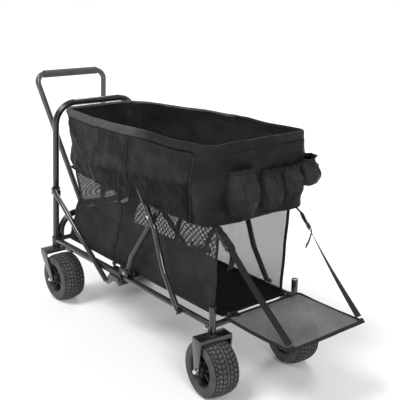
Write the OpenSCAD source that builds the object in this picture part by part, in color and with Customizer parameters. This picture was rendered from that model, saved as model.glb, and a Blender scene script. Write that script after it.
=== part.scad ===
// Folding camp wagon: tube frame, upper basket, lower deck, drop tailgate and four caster wheels.
// Millimetres. +Z is up, -X is the handle end, +X is the tailgate end, -Y is the right side.
// The origin is on the ground, at the middle of the whole wagon's length and width.

/* [Frame] */
// Distance between the handle end posts and the tailgate end posts
frame_length = 1000; // [900:10:1100]
// Distance between the two rails, axis to axis
frame_width = 360; // [330:5:400]
// Height of the rail axes above the tyres
rail_rise = 47; // [45:1:55]
// Diameter of the hoop, low arch and sleeve rails
tube_d = 25; // [24:0.5:28]
// Diameter of the sliding inner rails
inner_rail_d = 20; // [19:0.5:21]
// Diameter of the braces, scissor bars and cross tubes
bar_d = 19; // [17:0.5:20]
// Length of the fixed sleeve rails
sleeve_length = 483; // [460:1:500]
// How far the tailgate end slides in when the wagon is shortened
fold_travel = 220; // [180:10:220]

/* [Hoop and handle] */
// Height of the hoop's top bar above the rails
hoop_rise = 563; // [540:1:620]
// How far the hoop's top leans in over the basket
hoop_lean = 50; // [30:1:52]
// Bend radius of the hoop's corners
hoop_bend = 80; // [50:5:100]
// Height of the low arch's top bar above the rails
arch_rise = 100; // [90:1:120]
// Height of the hand grip above the rails
handle_rise = 653; // [610:1:760]
// How far the grip stands out beyond the posts
handle_reach = 150; // [100:5:200]
// Width of the handle between its leg axes at the top
handle_width = 320; // [260:5:330]
// Diameter of the handle tube
handle_d = 22; // [19:0.5:23]
// Diameter of the foam grip
grip_d = 30; // [27:0.5:36]

/* [Wheels] */
// Tyre diameter
wheel_d = 190; // [170:2:192]
// Tyre width
wheel_w = 100; // [80:1:104]
// Trail of the handle end casters
caster_trail = 55; // [40:1:60]
// Turn of the tailgate end casters as they stand
rear_caster_turn = -6; // [-20:1:20]

/* [Basket] */
// Height of the basket's rim above the rails
rim_rise = 566; // [550:1:620]
// Height of the basket's floor above the rails
floor_rise = 315; // [305:1:330]
// Thickness of the padded fabric
fabric_t = 4; // [3:0.5:5]
// Height of the bottle pockets
pocket_height = 135; // [100:5:150]

/* [Lower deck] */
// Height of the deck's fabric floor above the rails
deck_rise = 18; // [16:0.5:21]

/* [Tailgate] */
// Length of the tailgate panel
tailgate_length = 280; // [240:5:300]
// Width of the tailgate panel
tailgate_width = 326; // [280:2:330]
// Height of the tailgate's hinge axis above the rails
hinge_rise = 34; // [32:0.5:38]

/* [Hidden] */
$fn = 48;
// Radial clearance of the sliding and turning fits
running = 0.05;
side_y = frame_width / 2;
tube_r = tube_d / 2;
inner_r = inner_rail_d / 2;
bar_r = bar_d / 2;

// Heights above the ground, all carried by the wheels
wheel_r = wheel_d / 2;
rail_height = wheel_d + rail_rise;
hoop_height = rail_height + hoop_rise;
arch_height = rail_height + arch_rise;
handle_height = rail_height + handle_rise;
rim_height = rail_height + rim_rise;
floor_height = rail_height + floor_rise;
deck_height = rail_height + deck_rise;
tailgate_height = rail_height + hinge_rise;

// Caster stems and their sockets
tyre_gap = 15;
fork_plate_top = wheel_d + tyre_gap;
stem_r = 5;
socket_r = tube_r + 3.5;
socket_base = fork_plate_top + 4;
socket_top = rail_height + 13;
stem_bore = 30;
washer_gap = 0.3;
weld = 2;
post_r = 11;

// Hoop
lean_angle = atan(hoop_lean / (hoop_height - rail_height));
hoop_leg = (hoop_height - rail_height) / cos(lean_angle);

// Low arch, whose flat top carries the handle's two sleeves
handle_foot = 45;
sleeve_w = 46;
arch_half = side_y - tube_d + 1;
arch_bend = arch_half - handle_foot - sleeve_w / 2 - 13;

// Braces and collars, in the X-Z plane measured from the handle end posts
brace_y = side_y + tube_r + bar_r + 1;
collar_z = rail_height + 214;
collar_x = (collar_z - rail_height) * tan(lean_angle);
collar_h = 24;
collar_wall = 4;
brace_top = [collar_x + 27, collar_z + 8];
brace_foot = [sleeve_length - 66, rail_height - 37];

// Clamp housings on the sleeve rails
housing_x = sleeve_length - 53;
housing_end = sleeve_length + 19;
housing_half = tube_r + 4.5;
foot_r = 15;
ear_t = 4;
ear_end = housing_end + 42;

// Scissor bars, in the X-Z plane measured from the handle end posts
bar_a_y = side_y + inner_r + bar_r + 0.7;
bar_b_y = side_y - 2;
pin_r = 4;
eye_r = 11;
lean_a = 0.727;
foot_b = [housing_end + 25, rail_height + 25];
foot_a = [frame_length - 150, rail_height];
scissor = [(foot_a[0] + foot_b[0]) / 2 + 9, rail_height + 281];
waist_a = scissor + [22, -30];
knee_a = foot_a + [-78, 113];
knee_b = foot_b + [26, 68];
bar_top = rim_height - 106;
top_a = scissor + (bar_top - scissor[1]) * [-lean_a, 1];
top_b = knee_b + (bar_top - knee_b[1]) / (scissor[1] - knee_b[1]) * (scissor - knee_b);
inner_rail_start = socket_r + fold_travel + 24;

// Handle
handle_half = handle_width / 2;
handle_angle = atan(handle_reach / (handle_height - arch_height));
handle_leg = (handle_height - arch_height) / cos(handle_angle);
handle_bend = 34;
sleeve_r = tube_r + 4.5;

// Wheels
rim_r = wheel_r * 0.6;
hub_r = 17;
tyre_shoulder = 16;
fork_inner = wheel_w / 2 + 4;
fork_t = 5;
fork_half = 24;
fork_plate_t = 6;
axle_r = 5;

// Basket: an inner tub, with outer side panels that cover the scissor bars
skirt_in = bar_a_y + bar_r + 3;
skirt_out = skirt_in + fabric_t;
tub_out = bar_b_y - bar_r - 4;
basket_start = hoop_lean + tube_r + 2;
basket_end = frame_length;

// Bottle pockets: centre along Y and radius
pocket_r = 42;
wide_pocket_r = 55;
pocket_step = 2 * pocket_r + 2;
pocket_end = skirt_out - 33;
pockets = [
    [pocket_end - 2 * pocket_step - pocket_r - wide_pocket_r - 5, wide_pocket_r],
    [pocket_end - 2 * pocket_step, pocket_r],
    [pocket_end - pocket_step, pocket_r],
    [pocket_end, pocket_r]
];
pocket_base = floor_height + 40;
pocket_offset = 14;

// Lower deck
deck_out = bar_b_y - bar_r - 16;
deck_top = floor_height;
deck_front = hoop_lean + 25;
deck_end = frame_length - 16;
deck_mesh_t = 3;

// Tailgate
hinge_x = frame_length + 27;
hinge_r = 3;
tailgate_t = 6;
tailgate_start = hinge_x + 10;
tailgate_end = tailgate_start + tailgate_length;
border_w = 9;
hinge_y = tailgate_width / 2 - 43;

// Straps from the basket's lower corners to the tailgate's outer corners
strap_w = 25;
strap_t = 2;
strap_top = [frame_length + 18, tub_out + 6, floor_height - 7];
strap_foot = [tailgate_end - 10, tailgate_width / 2 - 14, tailgate_height + 9];
buckle_at = 0.13;
buckle_len = 62;
buckle_w = 36;
buckle_t = 12;

// The posts' place along X, which puts the origin at the middle of the whole length
x_front = -(tailgate_end - handle_reach - grip_d / 2) / 2;
x_rear = x_front + frame_length;

// Direction of travel from point a to point b, in degrees
function heading(a, b) = atan2(b[1] - a[1], b[0] - a[0]);

// Signed turn at point i of a path, between -180 and 180 degrees
function turn(p, i) =
    let (t = heading(p[i], p[i + 1]) - heading(p[i - 1], p[i]))
    t > 180 ? t - 360 : (t < -180 ? t + 360 : t);

// Length that the bend at point i takes from the straight on each side of it
function trim(p, i, bend) =
    i == 0 || i == len(p) - 1 ? 0 : bend * tan(abs(turn(p, i)) / 2);

// Round tube that follows a flat path in the X-Y plane, with a true bend at each inner point.
// The bends are a little thicker than the straights, which run a little way into them.
module bent_tube(p, r, bend) {
    swell = 0.25;
    tuck = 1;
    last = len(p) - 2;
    for (i = [0 : last]) {
        a = heading(p[i], p[i + 1]);
        start = trim(p, i, bend) - (i > 0 ? tuck : 0);
        end = trim(p, i + 1, bend) - (i < last ? tuck : 0);
        run = norm(p[i + 1] - p[i]) - start - end;
        translate([p[i][0] + start * cos(a), p[i][1] + start * sin(a), 0])
            rotate([0, 90, a])
                cylinder(r = r, h = run);
    }
    for (i = [1 : last]) {
        a = heading(p[i - 1], p[i]);
        t = turn(p, i);
        back = trim(p, i, bend);
        way = t > 0 ? 1 : -1;
        translate([
            p[i][0] - back * cos(a) - way * bend * sin(a),
            p[i][1] - back * sin(a) + way * bend * cos(a),
            0
        ])
            rotate([0, 0, t > 0 ? a - 90 : a + 90 + t])
                rotate_extrude(angle = abs(t))
                    translate([bend, 0])
                        circle(r = r + swell);
    }
}

// Puts a shape drawn in the X-Y plane upright in the X-Z plane at a given Y
module upright(y) {
    translate([x_front, y, 0])
        rotate([90, 0, 0])
            children();
}

// Puts a shape drawn in the X-Y plane across the wagon, in the Y-Z plane
module across() {
    rotate([90, 0, 90])
        children();
}

// Rod along Y, centred on y
module rod_y(x, y, z, r, h) {
    translate([x_front + x, y - h / 2, z])
        rotate([-90, 0, 0])
            cylinder(r = r, h = h);
}

module hoop() {
    start = 10;
    color([0.08, 0.08, 0.08])
        translate([x_front, 0, rail_height])
            rotate([0, lean_angle, 0])
                across()
                    bent_tube(
                        [[-side_y, start], [-side_y, hoop_leg], [side_y, hoop_leg], [side_y, start]],
                        tube_r, hoop_bend);
}

module front_sockets() {
    color([0.08, 0.08, 0.08])
        for (s = [-1, 1])
            translate([x_front, s * side_y, socket_base])
                difference() {
                    cylinder(r = socket_r, h = socket_top - socket_base);
                    translate([0, 0, -1])
                        cylinder(r = stem_r + running, h = stem_bore + 1);
                }
}

module low_arch() {
    foot = rail_height + bar_r - 3;
    color([0.08, 0.08, 0.08])
        translate([x_front, 0, 0])
            across()
                bent_tube(
                    [[-arch_half, foot], [-arch_half, arch_height],
                     [arch_half, arch_height], [arch_half, foot]],
                    tube_r, arch_bend);
}

module front_cross_tube() {
    color([0.08, 0.08, 0.08])
        rod_y(0, 0, rail_height, bar_r, 2 * (side_y - socket_r + weld));
}

module sleeve_rail(s) {
    start = socket_r - weld;
    color([0.08, 0.08, 0.08])
        translate([x_front, s * side_y, rail_height])
            rotate([0, 90, 0])
                difference() {
                    translate([0, 0, start])
                        cylinder(r = tube_r, h = sleeve_length - start);
                    translate([0, 0, inner_rail_start - fold_travel - 10])
                        cylinder(r = inner_r + running, h = sleeve_length);
                }
}

module collars() {
    ear_x = brace_top[0] - collar_x + 12;
    ear_y = brace_y - side_y;
    color([0.06, 0.06, 0.06])
        for (s = [-1, 1])
            translate([x_front + collar_x, s * side_y, collar_z])
                rotate([0, lean_angle, 0])
                    difference() {
                        union() {
                            translate([0, 0, -collar_h / 2])
                                cylinder(r = tube_r + collar_wall, h = collar_h);
                            translate([0, s > 0 ? 0 : -ear_y, -collar_h / 2])
                                cube([ear_x, ear_y, collar_h]);
                        }
                        translate([0, 0, -collar_h])
                            cylinder(r = tube_r, h = 2 * collar_h);
                    }
}

module collar_rivets() {
    head = 3;
    color([0.8, 0.8, 0.82])
        for (s = [-1, 1])
            rod_y(brace_top[0], s * (brace_y + bar_r + head / 2 - 0.5), brace_top[1], 6, head);
}

module brace(s) {
    run = norm(brace_foot - brace_top);
    plate_y = side_y + housing_half;
    color([0.08, 0.08, 0.08]) {
        upright(s * brace_y)
            translate(brace_top)
                rotate([0, 90, heading(brace_top, brace_foot)])
                    cylinder(r = bar_r, h = run);
        upright(s > 0 ? plate_y + 5 : -plate_y)
            linear_extrude(height = 5)
                polygon([
                    brace_foot + [-12, -8], brace_foot + [10, -12],
                    [housing_x + 30, rail_height - 26], [housing_end - 6, rail_height - 20],
                    [housing_end - 6, rail_height - 4], [housing_x + 8, rail_height - 4]
                ]);
    }
}

module clamp_housing(s) {
    inner_ear = side_y - inner_r - ear_t - 3;
    outer_ear = side_y + inner_r;
    color([0.05, 0.05, 0.05])
        difference() {
            union() {
                translate([x_front + housing_x, s * side_y - housing_half, rail_height - housing_half])
                    cube([housing_end - housing_x, 2 * housing_half, 2 * housing_half]);
                translate([
                    x_front + housing_end - 8,
                    s > 0 ? inner_ear : -inner_ear - ear_t,
                    rail_height - 12
                ])
                    cube([ear_end - housing_end + 8, ear_t, 50]);
                translate([
                    x_front + housing_end - 8,
                    s > 0 ? outer_ear : -outer_ear - ear_t,
                    rail_height + inner_r + 3
                ])
                    cube([ear_end - housing_end + 8, ear_t, 38 - inner_r - 3]);
            }
            translate([x_front, s * side_y, rail_height])
                rotate([0, 90, 0])
                    cylinder(r = tube_r, h = sleeve_length);
            translate([x_front, s * side_y, rail_height])
                rotate([0, 90, 0])
                    cylinder(r = inner_r + running, h = frame_length);
        }
}

module clamp_knobs() {
    color([0.05, 0.05, 0.05])
        for (s = [-1, 1])
            for (x = [housing_x + 11, housing_end - 11])
                translate([x_front + x, s * side_y, rail_height + housing_half - 1]) {
                    cylinder(r = 4.5, h = 18);
                    translate([0, 0, 12])
                        cylinder(r = 8, h = 10);
                }
}

module rail_feet() {
    color([0.05, 0.05, 0.05])
        for (s = [-1, 1])
            rod_y(housing_x + 45, s * (side_y - 15), rail_height - housing_half - foot_r + 3, foot_r, 40);
}

module mid_cross_tube() {
    color([0.08, 0.08, 0.08])
        rod_y(housing_end + 26, 0, rail_height, bar_r, 2 * (side_y - inner_r - ear_t - 3 + weld));
}

module front_bar_pins() {
    inner = side_y - inner_r - ear_t - 3;
    outer = side_y + inner_r + ear_t;
    color([0.6, 0.6, 0.62])
        for (s = [-1, 1]) {
            rod_y(foot_b[0], s * (inner + outer) / 2, foot_b[1], pin_r, outer - inner + 2);
            rod_y(foot_b[0], s * (outer + 2), foot_b[1], 7, 4);
        }
}

module inner_rail(s) {
    color([0.1, 0.1, 0.1])
        translate([x_front + inner_rail_start, s * side_y, rail_height])
            rotate([0, 90, 0])
                cylinder(r = inner_r, h = frame_length - inner_rail_start - 9);
}

module stub_post(s) {
    post_top = rail_height + 65;
    color([0.08, 0.08, 0.08])
        translate([x_rear, s * side_y, 0])
            difference() {
                translate([0, 0, socket_base])
                    cylinder(r = post_r, h = post_top - socket_base);
                translate([0, 0, socket_base - 1])
                    cylinder(r = stem_r + running, h = stem_bore + 1);
            }
}

module end_cross_tube() {
    color([0.08, 0.08, 0.08])
        rod_y(frame_length, 0, rail_height, bar_r, 2 * (side_y - post_r + weld));
}

module end_gussets() {
    color([0.1, 0.1, 0.1])
        for (s = [-1, 1])
            translate([x_rear - 34, s * side_y - 4, socket_base + 1])
                cube([25, 8, rail_height - inner_r - socket_base + 1]);
}

module end_screws() {
    color([0.8, 0.8, 0.82])
        for (s = [-1, 1])
            for (x = [-28, -18])
                rod_y(frame_length + x, s * 1.01 * side_y + s * 3.7, socket_base + 10, 3.5, 4);
}

module rear_bar_pins() {
    inner = side_y + inner_r - 4;
    outer = bar_a_y + bar_r + 1;
    color([0.6, 0.6, 0.62])
        for (s = [-1, 1]) {
            rod_y(foot_a[0], s * (inner + outer) / 2, foot_a[1], pin_r, outer - inner);
            rod_y(foot_a[0], s * (outer + 1.5), foot_a[1], 8, 4);
        }
}

module tailgate_brackets() {
    color([0.06, 0.06, 0.06])
        for (s = [-1, 1]) {
            for (d = [-12, 12])
                upright(s * hinge_y + d + 2)
                    linear_extrude(height = 4)
                        polygon([
                            [frame_length - 6, rail_height + bar_r - 3],
                            [frame_length + 8, rail_height + bar_r - 5],
                            [hinge_x + 6, tailgate_height - 5],
                            [hinge_x + 6, tailgate_height + 6],
                            [hinge_x - 6, tailgate_height + 6]
                        ]);
            rod_y(hinge_x, s * hinge_y, tailgate_height, hinge_r, 28);
        }
}

// Scissor bar with an eye at its foot, drawn at side s
module scissor_bar(s, y, path) {
    first = heading(path[0], path[1]);
    gap = 8;
    line = [for (i = [0 : len(path) - 1]) i == 0 ? path[0] + gap * [cos(first), sin(first)] : path[i]];
    color([0.12, 0.12, 0.12])
        difference() {
            union() {
                upright(s * y)
                    bent_tube(line, bar_r, 90);
                rod_y(path[0][0], s * y, path[0][1], eye_r, bar_d);
            }
            rod_y(path[0][0], s * y, path[0][1], pin_r + running, 3 * bar_d);
        }
}

module bar_a(s) {
    scissor_bar(s, bar_a_y, [foot_a, knee_a, waist_a, top_a]);
}

module bar_b(s) {
    scissor_bar(s, bar_b_y, [foot_b, knee_b, top_b]);
}

module scissor_rivet(s) {
    color([0.8, 0.8, 0.82]) {
        rod_y(scissor[0], s * (bar_a_y + bar_r + 0.5), scissor[1], 5, 3);
        rod_y(scissor[0], s * (bar_a_y - bar_r - 0.3), scissor[1], 5, 1.6);
    }
}

module handle_plane() {
    translate([x_front, 0, arch_height])
        rotate([0, -handle_angle, 0])
            across()
                children();
}

module handle_tube() {
    rise = tube_r + 2.7;
    ratio = rise / handle_leg;
    foot = handle_foot + (handle_half - handle_foot) * ratio;
    color([0.3, 0.3, 0.31])
        handle_plane()
            bent_tube(
                [[-foot, rise], [-handle_half, handle_leg], [handle_half, handle_leg], [foot, rise]],
                handle_d / 2, handle_bend);
}

module handle_grip() {
    half = handle_half - 36;
    color([0.15, 0.15, 0.15])
        handle_plane()
            translate([-half, handle_leg, 0])
                rotate([0, 90, 0])
                    difference() {
                        cylinder(r = grip_d / 2, h = 2 * half);
                        translate([0, 0, -1])
                            cylinder(r = handle_d / 2, h = 2 * half + 2);
                    }
}

module handle_sleeves() {
    color([0.05, 0.05, 0.05])
        for (s = [-1, 1])
            difference() {
                rod_y(0, s * handle_foot, arch_height, sleeve_r, sleeve_w);
                rod_y(0, s * handle_foot, arch_height, tube_r + running, sleeve_w + 2);
            }
}

// Places a caster part at one corner: e is -1 at the handle end, s is the side
module caster(e, s) {
    translate([e < 0 ? x_front : x_rear, s * side_y, 0])
        rotate([0, 0, e > 0 ? rear_caster_turn : 0])
            children();
}

// Places a wheel part, drawn about +Z, on its axle
module on_axle(e, s) {
    caster(e, s)
        translate([e < 0 ? caster_trail : 0, 0, wheel_r])
            rotate([90, 0, 0])
                children();
}

module fork(e, s) {
    trail = e < 0 ? caster_trail : 0;
    eye = 13;
    lip = tyre_gap - 1;
    lip_t = 3;
    color([0.06, 0.06, 0.06])
        caster(e, s) {
            difference() {
                union() {
                    translate([-fork_half, -fork_inner - fork_t, fork_plate_top - fork_plate_t])
                        cube([2 * fork_half, 2 * (fork_inner + fork_t), fork_plate_t]);
                    for (x = [-fork_half, fork_half - lip_t])
                        translate([x, -fork_inner - fork_t, fork_plate_top - lip])
                            cube([lip_t, 2 * (fork_inner + fork_t), lip]);
                    for (y = [-fork_inner, fork_inner + fork_t])
                        translate([0, y, 0])
                            rotate([90, 0, 0])
                                linear_extrude(height = fork_t)
                                    polygon([
                                        [-fork_half, fork_plate_top - 2], [-fork_half, fork_plate_top - 22],
                                        [trail - eye, wheel_r], [trail - eye + 4, wheel_r - eye + 2],
                                        [trail + eye - 4, wheel_r - eye + 2], [trail + eye, wheel_r],
                                        [fork_half, fork_plate_top - 22], [fork_half, fork_plate_top - 2]
                                    ]);
                }
                translate([trail, -fork_inner - 2 * fork_t, wheel_r])
                    rotate([-90, 0, 0])
                        cylinder(r = axle_r, h = 2 * (fork_inner + 2 * fork_t));
            }
            translate([0, 0, fork_plate_top - 1])
                cylinder(r = 13, h = socket_base - fork_plate_top - washer_gap + 1);
            translate([0, 0, fork_plate_top - 1])
                cylinder(r = stem_r, h = socket_base - fork_plate_top + stem_bore - 3);
        }
}

module axle(e, s) {
    half = fork_inner + fork_t;
    color([0.75, 0.75, 0.77])
        on_axle(e, s) {
            translate([0, 0, -half - 4])
                cylinder(r = axle_r, h = 2 * half + 8);
            for (z = [-half - 7, half])
                translate([0, 0, z])
                    cylinder(r = 8.5, h = 7, $fn = 6);
            for (z = [-half - 10, half + 7])
                translate([0, 0, z])
                    cylinder(r = 6, h = 3);
        }
}

module tyre(e, s) {
    half = wheel_w / 2;
    color([0.07, 0.07, 0.07])
        on_axle(e, s)
            rotate_extrude($fn = 72)
                polygon([
                    [rim_r, -half + 6], [rim_r + 6, -half], [wheel_r - tyre_shoulder, -half],
                    [wheel_r - 5, -half + 7], [wheel_r, -half + tyre_shoulder],
                    [wheel_r, half - tyre_shoulder], [wheel_r - 5, half - 7],
                    [wheel_r - tyre_shoulder, half], [rim_r + 6, half], [rim_r, half - 6]
                ]);
}

module rim(e, s) {
    half = wheel_w / 2;
    hub_half = half + 1;
    spokes = 6;
    color([0.05, 0.05, 0.05])
        on_axle(e, s)
            difference() {
                union() {
                    rotate_extrude($fn = 72)
                        polygon([
                            [rim_r - 5, -half + 6], [rim_r, -half + 6],
                            [rim_r, half - 6], [rim_r - 5, half - 6]
                        ]);
                    translate([0, 0, -hub_half])
                        cylinder(r = hub_r, h = 2 * hub_half);
                    for (a = [0 : spokes - 1])
                        rotate([0, 0, a * 360 / spokes])
                            translate([hub_r - 3, -5, -half + 12])
                                cube([rim_r - hub_r + 0.5, 10, wheel_w - 24]);
                }
                translate([0, 0, -hub_half - 1])
                    cylinder(r = axle_r + running, h = 2 * hub_half + 2);
            }
}

// Flat panel between two corners, given from the handle end posts
module panel(a, b) {
    translate([x_front + a[0], a[1], a[2]])
        cube(b - a);
}

module basket() {
    color([0.09, 0.09, 0.1]) {
        panel([basket_start, -tub_out, floor_height], [basket_end, tub_out, floor_height + fabric_t]);
        panel([basket_start, -skirt_out, floor_height],
              [basket_start + fabric_t, skirt_out, rim_height]);
        panel([basket_end - fabric_t, -skirt_out, floor_height],
              [basket_end, skirt_out, rim_height]);
        for (inner = [-tub_out, tub_out - fabric_t])
            panel([basket_start, inner, floor_height], [basket_end, inner + fabric_t, rim_height]);
    }
}

// Outer side panels that hang from the rim over the scissor bars
module basket_skirts() {
    start = basket_start + fabric_t;
    end = basket_end - fabric_t;
    color([0.1, 0.1, 0.11])
        for (s = [-1, 1]) {
            outer = s > 0 ? skirt_in : -skirt_out;
            hem = s > 0 ? tub_out : -skirt_out;
            panel([start, outer, floor_height], [end, outer + fabric_t, rim_height]);
            panel([start, hem, rim_height - fabric_t], [end, hem + skirt_out - tub_out, rim_height]);
        }
}

module bottle_pockets() {
    color([0.09, 0.09, 0.1])
        for (p = pockets)
            difference() {
                translate([x_rear + pocket_offset, p[0], pocket_base])
                    cylinder(r = p[1], h = pocket_height);
                translate([x_rear + pocket_offset, p[0], pocket_base + fabric_t])
                    cylinder(r = p[1] - 3, h = pocket_height);
                translate([x_rear - 200, p[0] - 100, pocket_base - 10])
                    cube([200, 200, 2 * pocket_height]);
            }
}

module lower_bag() {
    color([0.12, 0.12, 0.13]) {
        panel([deck_front, -deck_out, deck_height - fabric_t / 2],
              [deck_end, deck_out, deck_height + fabric_t / 2]);
        for (s = [-1, 1])
            upright(s > 0 ? deck_out : -deck_out + deck_mesh_t)
                linear_extrude(height = deck_mesh_t)
                    polygon([
                        [deck_front, deck_height - fabric_t / 2], [deck_end, deck_height - fabric_t / 2],
                        [deck_end, deck_top], [deck_front + 60, deck_top]
                    ]);
        upright(deck_out)
            linear_extrude(height = 2 * deck_out)
                polygon([
                    [deck_front, deck_height - fabric_t / 2], [deck_front + 4, deck_height - fabric_t / 2],
                    [deck_front + 64, deck_top], [deck_front + 60, deck_top]
                ]);
    }
}

module tailgate_border() {
    half = tailgate_width / 2;
    low = tailgate_height - tailgate_t / 2;
    color([0.05, 0.05, 0.05])
        difference() {
            union() {
                difference() {
                    panel([tailgate_start, -half, low], [tailgate_end, half, low + tailgate_t]);
                    panel([tailgate_start + border_w, -half + border_w, low - 1],
                          [tailgate_end - border_w, half - border_w, low + tailgate_t + 1]);
                }
                for (s = [-1, 1]) {
                    rod_y(hinge_x, s * hinge_y, tailgate_height, 7, 18);
                    panel([hinge_x, s * hinge_y - 9, tailgate_height - 3],
                          [tailgate_start + 1, s * hinge_y + 9, tailgate_height + 3]);
                }
            }
            for (s = [-1, 1])
                rod_y(hinge_x, s * hinge_y, tailgate_height, hinge_r + running, 30);
        }
}

module tailgate_mesh() {
    half = tailgate_width / 2 - border_w;
    color([0.35, 0.35, 0.35])
        panel([tailgate_start + border_w, -half, tailgate_height - 1],
              [tailgate_end - border_w, half, tailgate_height + 1]);
}

// Puts a shape drawn along +X at the strap's start, pointing down the strap of side s
module along_strap(s, at) {
    top = [strap_top[0], s * strap_top[1], strap_top[2]];
    foot = [strap_foot[0], s * strap_foot[1], strap_foot[2]];
    way = foot - top;
    translate([x_front + top[0], top[1], top[2]] + at * way)
        rotate([0, 0, atan2(way[1], way[0])])
            rotate([0, atan2(-way[2], norm([way[0], way[1]])), 0])
                children();
}

module strap(s) {
    run = norm([
        strap_foot[0] - strap_top[0], strap_foot[1] - strap_top[1], strap_foot[2] - strap_top[2]
    ]);
    color([0.06, 0.06, 0.06])
        difference() {
            along_strap(s, 0)
                translate([0, -strap_w / 2, -strap_t / 2])
                    cube([run, strap_w, strap_t]);
            along_strap(s, buckle_at)
                translate([0, -buckle_w / 2, -buckle_t / 2])
                    cube([buckle_len, buckle_w, buckle_t]);
        }
}

module buckle(s) {
    gap = 0.4;
    color([0.04, 0.04, 0.04])
        along_strap(s, buckle_at)
            translate([gap, -buckle_w / 2, -buckle_t / 2])
                difference() {
                    cube([buckle_len - 2 * gap, buckle_w, buckle_t]);
                    for (y = [-1, buckle_w - 4])
                        translate([26, y, -1])
                            cube([18, 5, buckle_t + 2]);
                }
}

hoop();
front_sockets();
low_arch();
front_cross_tube();
sleeve_rail(-1);  // sleeve_rail_r
sleeve_rail(1);  // sleeve_rail_l
collars();
collar_rivets();
brace(-1);  // brace_r
brace(1);  // brace_l
clamp_housing(-1);  // clamp_housing_r
clamp_housing(1);  // clamp_housing_l
clamp_knobs();
rail_feet();
mid_cross_tube();
front_bar_pins();
inner_rail(-1);  // inner_rail_r
inner_rail(1);  // inner_rail_l
stub_post(-1);  // stub_post_r
stub_post(1);  // stub_post_l
end_cross_tube();
end_gussets();
end_screws();
rear_bar_pins();
tailgate_brackets();
bar_a(-1);  // bar_a_r
bar_a(1);  // bar_a_l
bar_b(-1);  // bar_b_r
bar_b(1);  // bar_b_l
scissor_rivet(-1);  // scissor_rivet_r
scissor_rivet(1);  // scissor_rivet_l
handle_tube();
handle_grip();
handle_sleeves();
fork(-1, -1);  // fork_front_r
fork(-1, 1);  // fork_front_l
fork(1, -1);  // fork_rear_r
fork(1, 1);  // fork_rear_l
axle(-1, -1);  // axle_front_r
axle(-1, 1);  // axle_front_l
axle(1, -1);  // axle_rear_r
axle(1, 1);  // axle_rear_l
tyre(-1, -1);  // tyre_front_r
tyre(-1, 1);  // tyre_front_l
tyre(1, -1);  // tyre_rear_r
tyre(1, 1);  // tyre_rear_l
rim(-1, -1);  // rim_front_r
rim(-1, 1);  // rim_front_l
rim(1, -1);  // rim_rear_r
rim(1, 1);  // rim_rear_l
basket();
basket_skirts();
bottle_pockets();
lower_bag();
tailgate_border();
tailgate_mesh();
strap(-1);  // strap_r
strap(1);  // strap_l
buckle(-1);  // buckle_r
buckle(1);  // buckle_l
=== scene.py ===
# Folding camp wagon: the looks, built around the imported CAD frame. Metres, +Z up.
import math
import bpy
import numpy as np
from mathutils import Matrix, Vector, noise


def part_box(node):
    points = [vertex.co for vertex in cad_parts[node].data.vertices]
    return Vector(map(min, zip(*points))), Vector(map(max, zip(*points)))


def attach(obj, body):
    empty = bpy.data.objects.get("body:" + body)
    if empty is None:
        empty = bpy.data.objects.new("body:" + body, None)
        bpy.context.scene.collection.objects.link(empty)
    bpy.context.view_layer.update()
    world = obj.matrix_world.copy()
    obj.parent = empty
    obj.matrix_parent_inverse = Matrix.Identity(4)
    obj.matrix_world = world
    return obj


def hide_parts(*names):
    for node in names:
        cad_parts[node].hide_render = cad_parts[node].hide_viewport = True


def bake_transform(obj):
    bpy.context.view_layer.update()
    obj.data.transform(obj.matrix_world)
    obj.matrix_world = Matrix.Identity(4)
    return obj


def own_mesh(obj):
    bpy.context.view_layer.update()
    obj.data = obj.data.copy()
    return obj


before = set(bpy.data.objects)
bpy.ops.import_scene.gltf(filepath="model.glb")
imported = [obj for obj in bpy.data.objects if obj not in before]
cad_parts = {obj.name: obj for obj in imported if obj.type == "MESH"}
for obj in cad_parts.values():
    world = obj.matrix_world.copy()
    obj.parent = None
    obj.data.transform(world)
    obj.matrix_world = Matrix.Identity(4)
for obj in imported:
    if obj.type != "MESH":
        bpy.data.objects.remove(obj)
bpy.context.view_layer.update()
scene = bpy.context.scene


def centre(node):
    lo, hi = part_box(node)
    return (lo + hi) / 2


XF = centre("front_sockets").x  # handle end posts; the shapes below are measured from them
SIDES = {"r": -1, "l": 1}


# Camera, floor and light

def make_camera():
    az, el, roll = (math.radians(v) for v in (50.896, 16.628, 0.634))
    forward = Vector((-math.sin(az) * math.cos(el), math.cos(az) * math.cos(el), -math.sin(el)))
    right = forward.cross(Vector((0, 0, 1))).normalized()
    up = right.cross(forward)
    right, up = (right * math.cos(roll) + up * math.sin(roll),
                 up * math.cos(roll) - right * math.sin(roll))
    data = bpy.data.cameras.new("camera")
    data.sensor_width, data.lens = 36, 67.25
    data.clip_start, data.clip_end = 0.1, 60
    cam = bpy.data.objects.new("camera", data)
    scene.collection.objects.link(cam)
    at = Vector((XF + 2.6098, -1.5441, 1.2732))
    m = Matrix((right, up, -forward)).transposed().to_4x4()
    m.translation = at
    cam.matrix_world = m
    scene.camera = cam


def sun(name, direction, strength, spread):
    data = bpy.data.lights.new(name, "SUN")
    data.energy, data.angle = strength, math.radians(spread)
    o = bpy.data.objects.new(name, data)
    o.rotation_euler = Vector(direction).to_track_quat("Z", "Y").to_euler()
    scene.collection.objects.link(o)


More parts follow.
